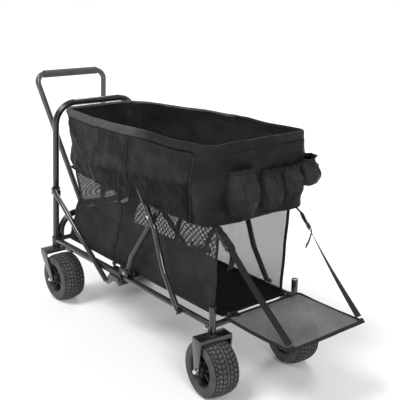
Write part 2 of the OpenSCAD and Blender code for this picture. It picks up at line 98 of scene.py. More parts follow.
def make_studio():
    scene.view_settings.view_transform = "Standard"
    world = bpy.data.worlds.new("studio")
    world.use_nodes = True
    tree = world.node_tree
    light = tree.nodes["Background"]
    light.inputs["Color"].default_value = (1, 1, 1, 1)
    light.inputs["Strength"].default_value = 0.44
    backdrop = tree.nodes.new("ShaderNodeBackground")
    backdrop.inputs["Strength"].default_value = 1.0
    backdrop.inputs["Color"].default_value = (1, 1, 1, 1)
    seen = tree.nodes.new("ShaderNodeLightPath")
    mix = tree.nodes.new("ShaderNodeMixShader")
    tree.links.new(seen.outputs["Is Camera Ray"], mix.inputs[0])
    tree.links.new(light.outputs[0], mix.inputs[1])
    tree.links.new(backdrop.outputs[0], mix.inputs[2])
    tree.links.new(mix.outputs[0], tree.nodes["World Output"].inputs["Surface"])
    scene.world = world
    sun("key", (-0.4, -1.7, 2.8), 1.75, 24)
    sun("fill", (2.6, -0.9, 1.7), 1.5, 24)
    sun("back", (-1.6, 2.2, 2.4), 0.8, 26)
    me = bpy.data.meshes.new("floor")
    me.from_pydata([(-30, -30, 0), (30, -30, 0), (30, 30, 0), (-30, 30, 0)], [], [(0, 1, 2, 3)])
    floor = bpy.data.objects.new("floor", me)
    scene.collection.objects.link(floor)
    floor.location.z = -0.0006
    floor.data.materials.append(plain_material("floor", (0.96, 0.96, 0.96), 0.9))


# Materials

class Nodes:
    """A material's node tree with short calls for what the materials below share."""

    def __init__(self, name, rough, metallic=0.0, **plain):
        self.mat = bpy.data.materials.new(name)
        self.mat.use_nodes = True
        self.tree = self.mat.node_tree
        self.bsdf = self.tree.nodes["Principled BSDF"]
        self.bsdf.inputs["Roughness"].default_value = rough
        self.bsdf.inputs["Metallic"].default_value = metallic
        for key, value in plain.items():
            self.bsdf.inputs[key.replace("_", " ")].default_value = value
        self.coord = self.new("ShaderNodeTexCoord").outputs["Object"]
        self.normal = None

    def new(self, kind, **settings):
        n = self.tree.nodes.new(kind)
        for key, value in settings.items():
            setattr(n, key, value)
        return n

    def link(self, a, b):
        self.tree.links.new(a, b)

    def stretched(self, scale, turn=(0, 0, 0)):
        n = self.new("ShaderNodeMapping")
        n.inputs["Scale"].default_value = scale
        n.inputs["Rotation"].default_value = turn
        self.link(self.coord, n.inputs["Vector"])
        return n.outputs["Vector"]

    def noise(self, scale, detail=3.0, rough=0.55, vector=None):
        n = self.new("ShaderNodeTexNoise")
        n.inputs["Scale"].default_value = scale
        n.inputs["Detail"].default_value = detail
        n.inputs["Roughness"].default_value = rough
        self.link(vector or self.coord, n.inputs["Vector"])
        return n.outputs["Fac"]

    def cells(self, scale, vector=None):
        n = self.new("ShaderNodeTexVoronoi")
        n.inputs["Scale"].default_value = scale
        self.link(vector or self.coord, n.inputs["Vector"])
        return n.outputs["Distance"]

    def math(self, op, a, b=None, clamp=False):
        n = self.new("ShaderNodeMath", operation=op, use_clamp=clamp)
        for i, v in enumerate((a, b)):
            if v is None:
                continue
            if isinstance(v, (int, float)):
                n.inputs[i].default_value = v
            else:
                self.link(v, n.inputs[i])
        return n.outputs[0]

    def axes(self, vector=None):
        n = self.new("ShaderNodeSeparateXYZ")
        self.link(vector or self.coord, n.inputs[0])
        return n.outputs

    def ramp(self, value, low, high, out_low=0.0, out_high=1.0):
        n = self.new("ShaderNodeMapRange", clamp=True)
        self.link(value, n.inputs["Value"])
        for key, v in zip(("From Min", "From Max", "To Min", "To Max"), (low, high, out_low, out_high)):
            n.inputs[key].default_value = v
        return n.outputs[0]

    def mix(self, value, a, b):
        n = self.new("ShaderNodeMix", data_type="RGBA")
        self.link(value, n.inputs["Factor"])
        for i, v in ((6, a), (7, b)):
            if isinstance(v, tuple):
                n.inputs[i].default_value = (*v, 1)
            else:
                self.link(v, n.inputs[i])
        return n.outputs[2]

    def colour(self, socket):
        self.link(socket, self.bsdf.inputs["Base Color"])

    def roughness(self, socket):
        self.link(socket, self.bsdf.inputs["Roughness"])

    def bump(self, height, strength, distance):
        n = self.new("ShaderNodeBump")
        n.inputs["Strength"].default_value = strength
        n.inputs["Distance"].default_value = distance
        self.link(height, n.inputs["Height"])
        if self.normal is not None:
            self.link(self.normal, n.inputs["Normal"])
        self.normal = n.outputs["Normal"]
        self.link(self.normal, self.bsdf.inputs["Normal"])


def plain_material(name, colour, rough):
    n = Nodes(name, rough)
    speck = n.ramp(n.noise(3), 0.3, 0.7)
    n.colour(n.mix(speck, colour, tuple(c * 1.01 for c in colour)))
    return n.mat


def paint(name, dark, light, rough):
    """Satin powder coat: fine orange peel, faint rubbed streaks and dust."""
    n = Nodes(name, rough, Coat_Weight=0.6, Coat_Roughness=0.09, Specular_IOR_Level=0.5)
    broad = n.ramp(n.noise(9, 4), 0.35, 0.7)
    scuffs = n.ramp(n.noise(60, 5, 0.7, n.stretched((0.4, 0.4, 1.6))), 0.6, 0.74)
    base = n.mix(broad, dark, light)
    n.colour(n.mix(n.math("MULTIPLY", scuffs, 0.35), base, tuple(min(1, c * 2.2 + 0.02) for c in light)))
    n.roughness(n.ramp(n.noise(30, 4), 0.3, 0.7, rough - 0.06, rough + 0.09))
    n.bump(n.noise(900, 2), 0.12, 0.0004)
    return n.mat


def plastic(name, dark, light, rough, grain=1400, depth=0.22):
    """Moulded plastic or rubber with a fine spark-eroded grain."""
    n = Nodes(name, rough, Specular_IOR_Level=0.45)
    n.colour(n.mix(n.ramp(n.noise(14, 4), 0.35, 0.7), dark, light))
    n.roughness(n.ramp(n.noise(40, 3), 0.3, 0.7, rough - 0.07, rough + 0.08))
    n.bump(n.noise(grain, 2, 0.6), depth, 0.0004)
    return n.mat


def foam(name):
    """Closed-cell grip foam: small pores and slightly polished where it is held."""
    n = Nodes(name, 0.8, Sheen_Weight=0.12, Sheen_Roughness=0.6)
    pores = n.cells(700)
    n.colour(n.mix(n.ramp(pores, 0.15, 0.6), (0.018, 0.018, 0.019), (0.07, 0.07, 0.072)))
    n.roughness(n.ramp(n.noise(20, 3), 0.3, 0.7, 0.7, 0.9))
    n.bump(pores, 0.5, 0.0005)
    return n.mat


def metal(name, colour, rough, stretch):
    """Zinc plated steel, with fine turned or drawn lines."""
    n = Nodes(name, rough, 1.0)
    lines = n.noise(500, 3, 0.6, n.stretched(stretch))
    n.colour(n.mix(n.ramp(lines, 0.3, 0.7), tuple(c * 0.8 for c in colour), colour))
    n.roughness(n.ramp(n.noise(80, 3), 0.3, 0.7, rough - 0.05, rough + 0.1))
    n.bump(lines, 0.12, 0.0002)
    return n.mat


def rubber(name, dark, light):
    """Tyre rubber: matt, dusty in patches, with fine grain."""
    n = Nodes(name, 0.78, Specular_IOR_Level=0.35)
    dust = n.ramp(n.noise(16, 5, 0.65), 0.4, 0.7)
    n.colour(n.mix(dust, dark, light))
    n.roughness(n.ramp(n.noise(50, 3), 0.3, 0.7, 0.66, 0.88))
    n.bump(n.noise(1100, 3, 0.6), 0.35, 0.0006)
    return n.mat


def woven(n, pitch):
    """Height of a plain weave, for walls and floors of any heading."""
    x, y, z = n.axes()
    k = 2 * math.pi / pitch
    along = n.math("SINE", n.math("MULTIPLY", n.math("ADD", x, y), k))
    rise = n.math("SINE", n.math("MULTIPLY", n.math("ADD", z, n.math("MULTIPLY", x, 0.02)), k))
    return n.math("MULTIPLY", along, rise)


def fabric(name, dark, light, rough=0.72, pitch=0.0022, creases=0.5, painted_shade=1.0, painted_highlight=0):
    """Coated polyester: plain weave and soft handling creases.

    A shade factor below 1 darkens its lower part with painted shade where the skirt turns under, and a
    highlight factor lightens its handle half with a painted highlight."""
    n = Nodes(name, rough, Specular_IOR_Level=0.05)
    weave = woven(n, pitch)
    patches = n.ramp(n.noise(5.5, 4, 0.6, n.stretched((1, 1, 1.8))), 0.3, 0.72)
    base = n.mix(patches, dark, light)
    if painted_shade < 1:
        # Painted shade: below the border line the colour drops to a fraction of the dark tone, for the shade
        # where the skirt turns under; the end past the upright seam is spared.
        x, _, z = n.axes()
        border = n.math("ADD", n.math("MULTIPLY", x, BORDER_SLOPE), BORDER_Z)
        above = n.math("SUBTRACT", n.math("ADD", z, n.math("MULTIPLY", n.noise(7), 0.03)), border)
        at_end = n.ramp(n.math("SUBTRACT", x, XF), 0.925, 0.945)
        clear = n.math("MAXIMUM", n.ramp(above, 0.008, 0.022), at_end)
        base = n.mix(clear, tuple(c * painted_shade for c in dark), base)
    # Painted highlight: the handle half is lightened to a multiple of the pale tone, for the light along the
    # top of the rim.
    if painted_highlight:
        x, y, z = n.axes()
        base = n.mix(n.ramp(n.math("SUBTRACT", x, XF), 0.62, 0.72), tuple(c * painted_highlight for c in light), base)
    n.colour(n.mix(n.ramp(weave, -1, 1, 0.0, 0.14), base, tuple(c * 1.9 for c in light)))
    n.roughness(n.ramp(n.noise(22, 3), 0.3, 0.7, rough - 0.09, rough + 0.1))
    soft = n.noise(9, 4, 0.5, n.stretched((1, 1, 1.3)))
    n.bump(soft, creases, 0.024)
    n.bump(n.noise(40, 3, 0.5), creases * 0.35, 0.005)
    n.bump(weave, 0.3, 0.0005)
    return n.mat


def webbing(name):
    """Woven strap: ribs across it and a tight edge."""
    n = Nodes(name, 0.6, Specular_IOR_Level=0.25)
    x, y, z = n.axes()
    ribs = n.math("SINE", n.math("MULTIPLY", n.math("ADD", n.math("ADD", x, z), y), 2 * math.pi / 0.0028))
    n.colour(n.mix(n.ramp(ribs, -1, 1), (0.004, 0.004, 0.0042), (0.016, 0.016, 0.0165)))
    n.roughness(n.ramp(n.noise(30), 0.3, 0.7, 0.52, 0.68))
    n.bump(ribs, 0.5, 0.0006)
    n.bump(n.noise(700, 2), 0.2, 0.0004)
    return n.mat


def netting(name, plane, cover, dark, light, pitch=0.0034):
    """Knitted mesh with see-through holes. plane is the two axes it lies in, cover how closed it is."""
    n = Nodes(name, 0.7, Specular_IOR_Level=0.2)
    a, b = (n.axes()[i] for i in plane)
    k = 2 * math.pi / pitch
    p = n.math("SINE", n.math("MULTIPLY", n.math("ADD", a, b), k))
    q = n.math("SINE", n.math("MULTIPLY", n.math("SUBTRACT", a, b), k))
    height = n.math("ABSOLUTE", n.math("MULTIPLY", p, q))
    soft_edge = 0.06
    n.link(n.ramp(height, cover + soft_edge, cover - soft_edge), n.bsdf.inputs["Alpha"])
    threads = n.mix(n.ramp(n.noise(8, 4), 0.35, 0.7), dark, light)
    # Painted shade: the colour darkens towards each opening to near black, for the shade seen through the
    # holes, also where cover keeps them closed.
    n.colour(n.mix(n.ramp(height, 0.35, 0.95), threads, tuple(c * 0.12 for c in dark)))
    n.roughness(n.ramp(n.noise(30), 0.3, 0.7, 0.6, 0.8))
    n.bump(height, 0.6, 0.0008)
    return n.mat


# The fabric's black and the paler tone of its random patches; the rim's painted highlight is a multiple of
# the paler one.
BLACK_DYE, PALE_TONE = (0.008, 0.008, 0.0082), (0.023, 0.023, 0.0235)
NET_DARK, NET_LIGHT = (0.022, 0.022, 0.0225), (0.044, 0.044, 0.045)
NET_PITCH = 0.0085

# The skirt's lower part turns under along a line that rises towards the tailgate, and the basket fabric is
# painted with shade below that line.
BORDER_SLOPE = 0.104
BORDER_Z = 0.587 - BORDER_SLOPE * XF

MATS = {
    "frame_paint": paint("frame_paint", (0.006, 0.006, 0.0063), (0.012, 0.012, 0.0125), 0.26),
    "handle_paint": paint("handle_paint", (0.050, 0.050, 0.051), (0.090, 0.090, 0.092), 0.34),
    "grip_foam": foam("grip_foam"),
    "black_plastic": plastic("black_plastic", (0.010, 0.010, 0.011), (0.020, 0.020, 0.021), 0.34),
    "bright_metal": metal("bright_metal", (0.82, 0.82, 0.84), 0.24, (1, 1, 4)),
    "grey_steel": metal("grey_steel", (0.42, 0.42, 0.44), 0.38, (4, 1, 1)),
    "tyre_rubber": rubber("tyre_rubber", (0.045, 0.045, 0.046), (0.100, 0.100, 0.101)),
    # Painted shade: the tread grooves get near-black rubber for the shade inside them.
    "tyre_groove_painted_shade": rubber("tyre_groove_painted_shade", (0.006, 0.006, 0.006), (0.014, 0.014, 0.014)),
    "tyre_wall": rubber("tyre_wall", (0.050, 0.050, 0.051), (0.095, 0.095, 0.096)),
    "wheel_plastic": plastic("wheel_plastic", (0.008, 0.008, 0.009), (0.016, 0.016, 0.017), 0.5, 900),
    # Basket fabric with painted shade on the skirt's lower part.
    "basket_fabric": fabric("basket_fabric", BLACK_DYE, PALE_TONE, 0.42, creases=0.7, painted_shade=0.2),
    # Rim fabric with a painted highlight over its handle half.
    "rim_fabric": fabric("rim_fabric", BLACK_DYE, PALE_TONE, 0.42, creases=0.7, painted_highlight=3.4),
    # The pockets are the basket's black fabric; their paler patches are painted light for the lit pouches.
    "pocket_fabric_painted_light": fabric("pocket_fabric_painted_light", (0.010, 0.010, 0.0102), (0.034, 0.034, 0.035), 0.38,
                            creases=1.0),
    "webbing": webbing("webbing"),
    "deck_fabric": fabric("deck_fabric", (0.006, 0.006, 0.0063), (0.011, 0.011, 0.0115), 0.7),
    "side_net": netting("side_net", (0, 2), 0.60, NET_DARK, NET_LIGHT, NET_PITCH),
    "end_net": netting("end_net", (1, 2), 0.60, NET_DARK, NET_LIGHT, NET_PITCH),
    "gate_net": netting("gate_net", (0, 1), 0.96, (0.13, 0.13, 0.133), (0.20, 0.20, 0.203), 0.0125),
    "thread": plastic("thread", (0.030, 0.030, 0.032), (0.050, 0.050, 0.053), 0.6, 900),
}


# Mesh building

class Shape:
    """Collects points and faces, then makes one object of them."""

    def __init__(self):
        self.points, self.faces, self.kinds = [], [], []

    def add(self, points, faces, kind=0, place=None):
        base = len(self.points)
        self.points += [tuple(place @ Vector(p)) if place else tuple(p) for p in points]
        self.faces += [tuple(i + base for i in f) for f in faces]
        self.kinds += [kind] * len(faces)
        return self

    def grid(self, nu, nv, point, closed_u=False, kind=0, place=None, flip=False):
        cols = nu if closed_u else nu - 1
        last = nu if closed_u else nu - 1
        points = [point(i / last, j / (nv - 1)) for i in range(nu) for j in range(nv)]
        faces = []
        for i in range(cols):
            for j in range(nv - 1):
                a, b = i * nv + j, (i + 1) % nu * nv + j
                faces.append((a, a + 1, b + 1, b) if flip else (a, b, b + 1, a + 1))
        return self.add(points, faces, kind, place)

    def revolve(self, profile, n=48, kind=0, place=None, closed=True):
        """Turns (radius, height) points about local Z."""
        m = len(profile)
        points = [(r * math.cos(2 * math.pi * i / n), r * math.sin(2 * math.pi * i / n), z)
                  for i in range(n) for r, z in profile]
        last = m if closed else m - 1
        faces = [(i * m + j, (i + 1) % n * m + j, (i + 1) % n * m + (j + 1) % m, i * m + (j + 1) % m)
                 for i in range(n) for j in range(last)]
        return self.add(points, faces, kind, place)

    def box(self, lo, hi, kind=0, place=None):
        p = [(x, y, z) for x in (lo[0], hi[0]) for y in (lo[1], hi[1]) for z in (lo[2], hi[2])]
        faces = [(0, 1, 3, 2), (4, 6, 7, 5), (0, 4, 5, 1), (2, 3, 7, 6), (0, 2, 6, 4), (1, 5, 7, 3)]
        return self.add(p, faces, kind, place)

    def sweep(self, path, section, side=None, kind=0, closed=False, place=None):
        """Runs a closed section, given as (across, out), along a path. side is the across direction."""
        path = [Vector(p) for p in path]
        n, m = len(path), len(section)
        points, across = [], None
        for i, p in enumerate(path):
            before = path[(i - 1) % n] if closed or i > 0 else p
            after = path[(i + 1) % n] if closed or i < n - 1 else p
            t = (after - before).normalized()
            if side is not None:
                across = Vector(side(i / (n - 1)) if callable(side) else side)
            elif across is None:
                across = t.orthogonal()
            across = (across - across.dot(t) * t).normalized()
            out = t.cross(across)
            points += [p + across * a + out * b for a, b in section]
        faces = [(i * m + j, (i + 1) % n * m + j, (i + 1) % n * m + (j + 1) % m, i * m + (j + 1) % m)
                 for i in range(n if closed else n - 1) for j in range(m)]
        if not closed:
            faces += [tuple(range(m))[::-1], tuple((n - 1) * m + j for j in range(m))]
        return self.add(points, faces, kind, place)

    def object(self, name, mats, smooth=True):
        me = bpy.data.meshes.new(name)
        me.from_pydata(self.points, [], self.faces)
        for m in mats:
            me.materials.append(MATS[m])
        me.polygons.foreach_set("material_index", self.kinds)
        me.polygons.foreach_set("use_smooth", [smooth] * len(self.faces))
        me.update()
        o = bpy.data.objects.new(name, me)
        scene.collection.objects.link(o)
        return o


def flat_section(width, thick, crown=0.0):
    """Strap section with rounded edges."""
    w, t = width / 2, thick / 2
    return [(-w, 0), (-w + t * 0.6, t), (-w * 0.4, t + crown), (w * 0.4, t + crown), (w - t * 0.6, t),
            (w, 0), (w - t * 0.6, -t), (w * 0.4, -t - crown), (-w * 0.4, -t - crown), (-w + t * 0.6, -t)]


def smooth_path(points, n):
    """Catmull-Rom curve through the points, resampled evenly."""
    p = [Vector(q) for q in points]
    p = [p[0] * 2 - p[1]] + p + [p[-1] * 2 - p[-2]]
    fine = []
    for i in range(1, len(p) - 2):
        for k in range(24):
            t = k / 24
            fine.append(0.5 * ((2 * p[i]) + (p[i + 1] - p[i - 1]) * t
                        + (2 * p[i - 1] - 5 * p[i] + 4 * p[i + 1] - p[i + 2]) * t * t
                        + (3 * p[i] - 3 * p[i + 1] + p[i + 2] - p[i - 1]) * t ** 3))
    fine.append(p[-2])
    return resample(fine, n)


def resample(fine, n):
    length = [0.0]
    for a, b in zip(fine, fine[1:]):
        length.append(length[-1] + (b - a).length)
    out, j = [], 0
    for i in range(n):
        want = length[-1] * i / (n - 1)
        while j < len(fine) - 2 and length[j + 1] < want:
            j += 1
        span = length[j + 1] - length[j]
        out.append(fine[j].lerp(fine[j + 1], (want - length[j]) / span if span else 0))
    return out


def table(rows, x):
    """Smooth reading of (x, value) rows."""
    if x <= rows[0][0]:
        return rows[0][1]
    for (a, va), (b, vb) in zip(rows, rows[1:]):
        if x <= b:
            t = (x - a) / (b - a)
            return va + (vb - va) * t * t * (3 - 2 * t)
    return rows[-1][1]


def fbm(x, y, z, octaves=3):
    value, amp = 0.0, 1.0
    for k in range(octaves):
        value += amp * noise.noise(Vector((x, y, z)) * 2 ** k + Vector((7.3 * k, 3.1, 1.7)))
        amp *= 0.5
    return value


def crease(x, y, z):
    """Sharp ridges, as in fabric pulled tight."""
    v = noise.noise(Vector((x, y, z)))
    return (1 - abs(v) * 2.2) ** 3 if abs(v) < 0.45 else 0.0


def bevel(o, width, segments=2, angle=35):
    m = o.modifiers.new("edges", "BEVEL")
    m.width, m.segments, m.limit_method, m.angle_limit = width, segments, "ANGLE", math.radians(angle)
    m.use_clamp_overlap = True
    return o


def finish_piece(o, body, slot, *nodes):
    if body:
        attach(o, body)
    if nodes:
        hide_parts(*nodes)
    return o


make_camera()
make_studio()


# CAD nodes that stay: material and softened edges

KEEP = {
    "frame_paint": ["hoop", "front_sockets", "low_arch", "front_cross_tube", "sleeve_rail_r", "sleeve_rail_l",
                    "collars", "brace_r", "brace_l", "mid_cross_tube", "inner_rail_r", "inner_rail_l",
                    "stub_post_r", "stub_post_l", "end_cross_tube", "end_gussets", "tailgate_brackets",
                    "bar_a_r", "bar_a_l", "bar_b_r", "bar_b_l",
                    "fork_front_r", "fork_front_l", "fork_rear_r", "fork_rear_l"],
    "handle_paint": ["handle_tube"],
    "grip_foam": ["handle_grip"],
    "black_plastic": ["clamp_housing_r", "clamp_housing_l", "rail_feet", "handle_sleeves"],
    "bright_metal": ["collar_rivets", "end_screws", "scissor_rivet_r", "scissor_rivet_l",
                     "axle_front_r", "axle_front_l", "axle_rear_r", "axle_rear_l"],
    "grey_steel": ["front_bar_pins", "rear_bar_pins"],
}
EDGES = {"front_sockets": 1.0, "collars": 1.5, "fork": 1.2, "clamp_housing": 2.0, "rail_feet": 3.0,
         "collar_rivets": 1.2, "scissor_rivet": 0.8, "end_screws": 0.8, "axle": 0.9, "end_gussets": 1.0,
         "tailgate_brackets": 0.8, "handle_sleeves": 1.2, "handle_grip": 2.0, "front_bar_pins": 1.0,
         "rear_bar_pins": 1.0, "brace": 0.8, "sleeve_rail": 0.8, "stub_post": 1.0}


def dress_cad():
    for slot, names in KEEP.items():
        for name in names:
            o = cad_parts[name]
            o.data.materials.clear()
            o.data.materials.append(MATS[slot])
            o.data.polygons.foreach_set("use_smooth", [True] * len(o.data.polygons))
            weld = o.modifiers.new("weld", "WELD")
            weld.merge_threshold = 0.00002
            width = next((w for key, w in EDGES.items() if name.startswith(key)), 0.6)
            bevel(o, width / 1000, 2, 32)


# Basket

BASKET_START, BASKET_END = 0.0645, 1.0
HEM = 0.030
N_ROUND = 520


def folds(o):
    """The cloth rides with the frame body, on a mesh of its own."""
    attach(o, "frame")
    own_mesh(o)
    return o


def half_width(x):
    t = min(1, max(0, (x - 0.07) / 0.50))
    return 0.157 + (0.2155 - 0.157) * math.sin(math.pi / 2 * t) ** 0.9


def inner_half(x):
    return min(0.1615, half_width(x) - 0.014)


def plan_loop(start, end, half, corner, n):
    """Closed plan outline, from the middle of the handle end round by the near side."""
    points = [Vector((start, 0))]
    h = half(start)
    for a in range(0, 91, 10):
        points.append(Vector((start + corner * (1 - math.cos(math.radians(a))),
                              -h + corner - corner * math.sin(math.radians(a)))))
    for k in range(1, 60):
        x = start + corner + (end - start - 2 * corner) * k / 60
        points.append(Vector((x, -half(x))))
    for a in range(0, 91, 10):
        points.append(Vector((end - corner + corner * math.sin(math.radians(a)),
                              -half(end) + corner - corner * math.cos(math.radians(a)))))
    points.append(Vector((end, 0)))
    far = [Vector((p.x, -p.y)) for p in points[::-1]][1:-1]
    loop = resample([p.to_3d() for p in points + far + [points[0]]], n + 1)[:-1]
    return loop


def outward(loop):
    out = []
    for i in range(len(loop)):
        t = (loop[(i + 1) % len(loop)] - loop[i - 1]).normalized()
        out.append(Vector((t.y, -t.x, 0)))
    return out


CORNER = 0.046
SEAM_END = 0.941  # the hem seam stops at the upright seam, and the end panel is plain
OUTER = plan_loop(BASKET_START + 0.002, BASKET_END + 0.002, half_width, CORNER, N_ROUND)
OUTER_N = outward(OUTER)


def hemmed(x):
    return 1 - min(1, max(0, (x - SEAM_END + 0.012) / 0.012))


def rim_z(x, y):
    """The rim rises from the handle end and is a little slack between its fixings."""
    z = table([(0.06, 0.790), (0.25, 0.794), (0.55, 0.802), (0.67, 0.806), (0.80, 0.803), (1.0, 0.808)], x)
    return z + 0.0022 * noise.noise(Vector((x * 9, y * 9, 2.0)))


def gather(x):
    """How far the hem is pinched in at a place along it."""
    return sum(a * math.exp(-((x - c) / w) ** 2) for c, w, a in
               ((0.668, 0.012, 1.0), (0.36, 0.016, 0.5), (0.15, 0.014, 0.35)))


def skirt_point(k, v):
    """Outer wall. v is 0 at the lower edge and 1 at the hem seam."""
    p, n = OUTER[k], OUTER_N[k]
    side = abs(n.y)
    top = rim_z(p.x, p.y) - HEM
    z0 = 0.5535 + 0.002 * noise.noise(Vector((p.x * 7, p.y * 7, 5)))
    z = z0 + (top - z0) * v
    near_handle = max(0, 1 - (p.x - BASKET_START) / 0.16)
    tail = max(0, (p.x - 0.90) / 0.10)
    # Below a slanting line the skirt turns under, and above it stands nearly upright.
    border = 0.587 + BORDER_SLOPE * p.x
    off = -0.014 * max(0, (border - z) / (border - z0)) ** 1.3 * (0.25 + 0.75 * side)
    off += 0.0045 * math.sin(math.pi * min(1, v * 1.05)) * (0.4 + 0.6 * tail)
    # The handle end is pulled in at mid height and gathered low down.
    pull = 0.016 * math.sin(math.pi * v) ** 1.5 + 0.030 * max(0, 1 - v / 0.22) ** 2
    x = p.x + pull * near_handle ** 1.3
    w = 0.0065 * fbm(p.x * 6.5, p.y * 6.5, z * 9, 4)
    w += 0.0055 * crease(p.x * 5 + z * 3, p.y * 6, z * 7 - p.x * 1.5)
    w += 0.0030 * crease(p.x * 11 - z * 6, p.y * 14, z * 10 + 3)
    reach = math.hypot(p.x - 0.07, z - 0.78)
    w += 0.0035 * math.sin(math.atan2(0.78 - z, p.x - 0.05) * 17) * math.exp(-reach / 0.10) * side
    w *= 0.35 + 0.65 * math.sin(math.pi * min(1, 0.12 + v * 0.88)) ** 0.5
    seam = 0.0032 * (math.exp(-((p.x - (0.915 + 0.026 * v)) / 0.0045) ** 2)
                     + 0.4 * math.exp(-((p.x - 0.582) / 0.005) ** 2)) * side
    seam += 0.0026 * math.exp(-((1 - v) / 0.02) ** 2) * hemmed(p.x)
    edge = 0.0016 * math.exp(-(v / 0.03) ** 2)
    off += w - seam + edge
    return Vector((x + n.x * off, p.y + n.y * off, z))


def on_skirt(x, s, v, out):
    """Point on the skirt's side s at a distance along it, standing out by the given height."""
    for k in range(N_ROUND):
        a, b = OUTER[k], OUTER[(k + 1) % N_ROUND]
        if a.y * s > 0 and abs(OUTER_N[k].y) > 0.8 and (a.x - x) * (b.x - x) <= 0:
            t = (x - a.x) / (b.x - a.x)
            q = skirt_point(k, v).lerp(skirt_point((k + 1) % N_ROUND, v), t)
            return shift(q + OUTER_N[k] * out)
    raise ValueError(f"no skirt at {x}")


def wall_gap(p, n):
    """Thickness from the outer skirt to the inner liner low down, at a point of the outline."""
    side = abs(n.y)
    along = half_width(p.x) - inner_half(p.x)
    return along * side ** 2 + 0.013 * (1 - side ** 2)


def hem_gap(p, n):
    """The same at the rim, where skirt and liner are folded together over a cord."""
    return min(wall_gap(p, n), 0.013)


def rim_point(k, a):
    """Hem and padded rim. a runs 0..1 from the seam, up and over, to the inner wall."""
    p, n = OUTER[k], OUTER_N[k]
    top = rim_z(p.x, p.y)
    gap = hem_gap(p, n)
    pinch = gather(p.x) * abs(n.y) * (1 if p.y < 0 else 0.6)
    slack = table([(0.05, 1.0), (0.62, 0.9), (0.72, 0.25), (1.0, 0.15)], p.x) * abs(n.y)
    puff = 1 + 0.9 * slack * noise.noise(Vector((p.x * 13, p.y * 13, 0.5))) - 0.5 * pinch
    crown = 0.0075 * puff
    low = top - HEM
    if a < 0.4:
        v = a / 0.4
        z = low + (top - crown - low) * v
        off = 0.0042 * math.sin(math.pi * v * 0.5) * puff - 0.0022 * math.exp(-(v / 0.14) ** 2)
        off *= hemmed(p.x)
        off += (0.0012 + 0.0055 * slack) * fbm(p.x * 19, p.y * 19, z * 12, 3) * math.sin(math.pi * v)
        off += 0.0030 * slack * crease(p.x * 30, p.y * 22, z * 14) * v - 0.005 * pinch * v
    else:
        v = (a - 0.4) / 0.6
        ang = math.pi * v
        z = top - crown + crown * math.sin(ang) * (1 + 0.12 * fbm(p.x * 22, p.y * 22, 4))
        outer = 0.0042 * puff * hemmed(p.x) - 0.005 * pinch
        off = outer - (outer + gap) * (1 - math.cos(ang)) / 2
    return Vector((p.x + n.x * off, p.y + n.y * off, z))


def liner_point(k, v):
    """Inner wall, v from the rim down to the floor."""
    p, n = OUTER[k], OUTER_N[k]
    fall = min(1, v / 0.55)
    gap = hem_gap(p, n) + (wall_gap(p, n) - hem_gap(p, n)) * fall * fall * (3 - 2 * fall)
    top = rim_z(p.x, p.y) - 0.0075
    z = top + (0.5585 - top) * v
    w = 0.0026 * fbm(p.x * 6 + 9, p.y * 6, z * 8, 3) + 0.0022 * crease(p.x * 8, p.y * 8 + 4, z * 9)
    off = -gap - abs(w) * math.sin(math.pi * v)
    near_handle = max(0, 1 - (p.x - BASKET_START) / 0.16)
    return Vector((p.x + (0.022 * v) * near_handle + n.x * off, p.y + n.y * off, z))


def shift(v):
    return Vector((v.x + XF, v.y, v.z))


def round_index(u):
    return round(u * N_ROUND) % N_ROUND


def lofted_round(rows, point):
    """A sheet that runs round the basket's outline."""
    return Shape().grid(N_ROUND, rows, lambda u, v: shift(point(round_index(u), v)), closed_u=True)


